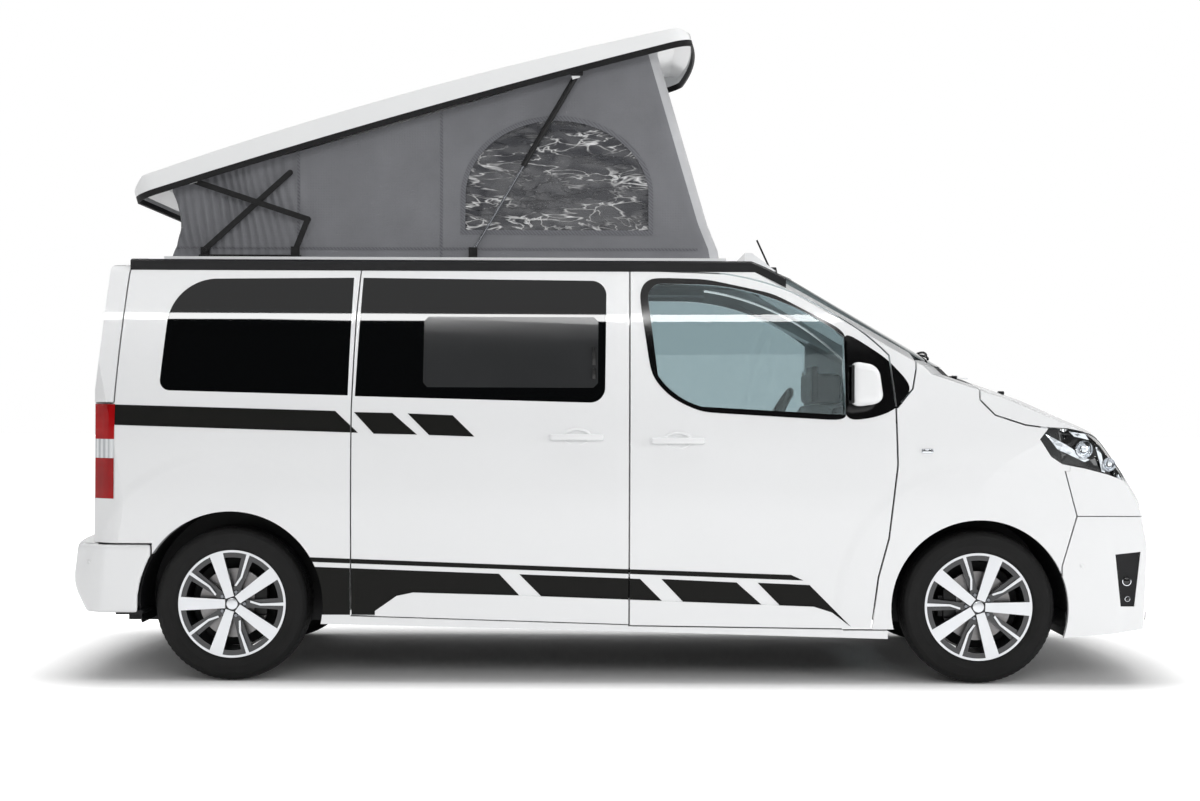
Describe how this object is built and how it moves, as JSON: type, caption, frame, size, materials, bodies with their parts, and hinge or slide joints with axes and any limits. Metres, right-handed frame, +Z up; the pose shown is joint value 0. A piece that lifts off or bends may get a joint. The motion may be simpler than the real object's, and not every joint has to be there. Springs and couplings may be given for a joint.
{
  "type": "camper van",
  "caption": "Camper van with a raised pop-up roof and tent; doors, tailgate and bonnet open, front wheels steer, wheels roll and the roof folds shut on its scissor lift.",
  "frame": {"origin": "bottom centre of the bounding box, on the ground under the tyres", "axes": "+X forward along the van, +Y to its left, +Z up"},
  "size_m": [4.9542, 2.2, 2.9169],
  "materials": {
    "paint": "gloss",
    "black_plastic": "satin",
    "tinted_glass": "gloss",
    "clear_glass": "gloss",
    "lamp_clear": "gloss",
    "lamp_red": "gloss",
    "steel": "satin",
    "exhaust_steel": "satin",
    "disc_steel": "satin",
    "alloy": "gloss",
    "tyre": "matte",
    "seal": "matte",
    "canvas": "matte",
    "seat_fabric": "matte",
    "lift_steel": "satin",
    "rod_steel": "polished"
  },
  "bodies": {
    "body": {"body_sides": "paint", "sliding_doors": "paint", "side_windows": "tinted_glass", "roof_panel": "paint", "roof_rails": "black_plastic", "roof_deflector": "paint", "antenna": "black_plastic", "tail_lamps": "lamp_red", "rear_bumper": "paint", "front_wings": "paint", "headlamps": "lamp_clear", "nose_panel": "paint", "front_bumper": "paint", "front_grilles": "black_plastic", "windscreen": "clear_glass", "scuttle_panel": "black_plastic", "floor_pan": "steel", "wheel_liners": "black_plastic", "front_subframe": "steel", "rear_axle": "steel", "engine_block": "steel", "exhaust": "exhaust_steel", "fuel_tank": "black_plastic", "dashboard": "black_plastic", "steering_wheel": "black_plastic", "front_seats": "seat_fabric", "rear_bench": "seat_fabric", "tent": "canvas", "lift_brackets": "lift_steel"},
    "door_left": {"front_door_left": "paint", "front_door_glass_left": "clear_glass", "mirror_left": "paint"},
    "door_right": {"front_door_right": "paint", "front_door_glass_right": "clear_glass", "mirror_right": "paint"},
    "tailgate": {"tailgate": "paint", "tailgate_glass": "tinted_glass"},
    "bonnet": {"bonnet": "paint"},
    "pop_roof": {"roof_shell": "paint", "roof_seal": "seal"},
    "scissor_base": {"scissor_base_arms": "lift_steel"},
    "scissor_roof": {"scissor_roof_arms": "lift_steel"},
    "scissor_link": {"scissor_links": "lift_steel"},
    "strut_rod": {"strut_rods": "rod_steel"},
    "strut_tube": {"strut_tubes": "lift_steel"},
    "hub_left": {"knuckle_left": "steel"},
    "hub_right": {"knuckle_right": "steel"},
    "wheel_front_left": {"tyre_front_left": "tyre", "rim_front_left": "alloy", "brake_disc_front_left": "disc_steel"},
    "wheel_front_right": {"tyre_front_right": "tyre", "rim_front_right": "alloy", "brake_disc_front_right": "disc_steel"},
    "wheel_rear_left": {"tyre_rear_left": "tyre", "rim_rear_left": "alloy", "brake_disc_rear_left": "disc_steel"},
    "wheel_rear_right": {"tyre_rear_right": "tyre", "rim_rear_right": "alloy", "brake_disc_rear_right": "disc_steel"}
  },
  "joints": [
    {"name": "roof_lift", "type": "hinge", "parent": "body", "child": "pop_roof", "pos_m": [-2.944, 0, 1.667], "axis": [0, 1, 0], "range_deg": [0, 16.03], "deforming": ["tent"]},
    {"name": "scissor_base_fold", "type": "hinge", "parent": "body", "child": "scissor_base", "pos_m": [-1.855, 0, 1.912], "axis": [0, 1, 0], "range_deg": [-0.1, 41.37]},
    {"name": "scissor_roof_fold", "type": "hinge", "parent": "pop_roof", "child": "scissor_roof", "pos_m": [-1.906, 0, 2.222], "axis": [0, 1, 0], "range_deg": [-35.43, 0.1]},
    {"name": "scissor_link_fold", "type": "hinge", "parent": "body", "child": "scissor_link", "pos_m": [-1.441, 0, 1.912], "axis": [0, 1, 0], "range_deg": [-0.1, 66.37]},
    {"name": "strut_swing", "type": "hinge", "parent": "body", "child": "strut_rod", "pos_m": [-0.64, 0, 1.912], "axis": [0, 1, 0], "range_deg": [-0.1, 61.16]},
    {"name": "strut_slide", "type": "slide", "parent": "strut_rod", "child": "strut_tube", "axis": [0.5037, 0, 0.8639], "range_m": [-0.27608, 0.001]},
    {"name": "door_left_hinge", "type": "hinge", "parent": "body", "child": "door_left", "pos_m": [1.085, 0.93, 0.84], "axis": [0, 0, -1], "range_deg": [0, 56]},
    {"name": "door_right_hinge", "type": "hinge", "parent": "body", "child": "door_right", "pos_m": [1.085, -0.93, 0.84], "axis": [0, 0, 1], "range_deg": [0, 56]},
    {"name": "tailgate_hinge", "type": "hinge", "parent": "body", "child": "tailgate", "pos_m": [-2.15, 0, 1.87], "axis": [0, 1, 0], "range_deg": [0, 85]},
    {"name": "bonnet_hinge", "type": "hinge", "parent": "body", "child": "bonnet", "pos_m": [1.596, 0, 1.352], "axis": [0, -1, 0], "range_deg": [0, 50]},
    {"name": "steer_left", "type": "hinge", "parent": "body", "child": "hub_left", "pos_m": [1.5985, 0.785, 0.338], "axis": [0, 0, 1], "range_deg": [-35, 35]},
    {"name": "steer_right", "type": "hinge", "parent": "body", "child": "hub_right", "pos_m": [1.5985, -0.785, 0.338], "axis": [0, 0, 1], "range_deg": [-35, 35]},
    {"name": "wheel_front_left_spin", "type": "hinge", "parent": "hub_left", "child": "wheel_front_left", "pos_m": [1.5985, 0.815, 0.338], "axis": [0, 1, 0], "continuous": true},
    {"name": "wheel_front_right_spin", "type": "hinge", "parent": "hub_right", "child": "wheel_front_right", "pos_m": [1.5985, -0.815, 0.338], "axis": [0, 1, 0], "continuous": true},
    {"name": "wheel_rear_left_spin", "type": "hinge", "parent": "body", "child": "wheel_rear_left", "pos_m": [-1.6765, 0.809, 0.338], "axis": [0, 1, 0], "continuous": true},
    {"name": "wheel_rear_right_spin", "type": "hinge", "parent": "body", "child": "wheel_rear_right", "pos_m": [-1.6765, -0.809, 0.338], "axis": [0, 1, 0], "continuous": true}
  ],
  "couplings": [
    {"joint": "scissor_base_fold", "follows": "roof_lift", "ratio": 2.5748},
    {"joint": "scissor_roof_fold", "follows": "roof_lift", "ratio": -2.2042},
    {"joint": "scissor_link_fold", "follows": "roof_lift", "ratio": 4.1341},
    {"joint": "strut_swing", "follows": "roof_lift", "ratio": 3.8088},
    {"joint": "strut_slide", "follows": "roof_lift", "m_per_rad": -0.98322},
    {"joint": "steer_right", "follows": "steer_left", "ratio": 1}
  ]
}
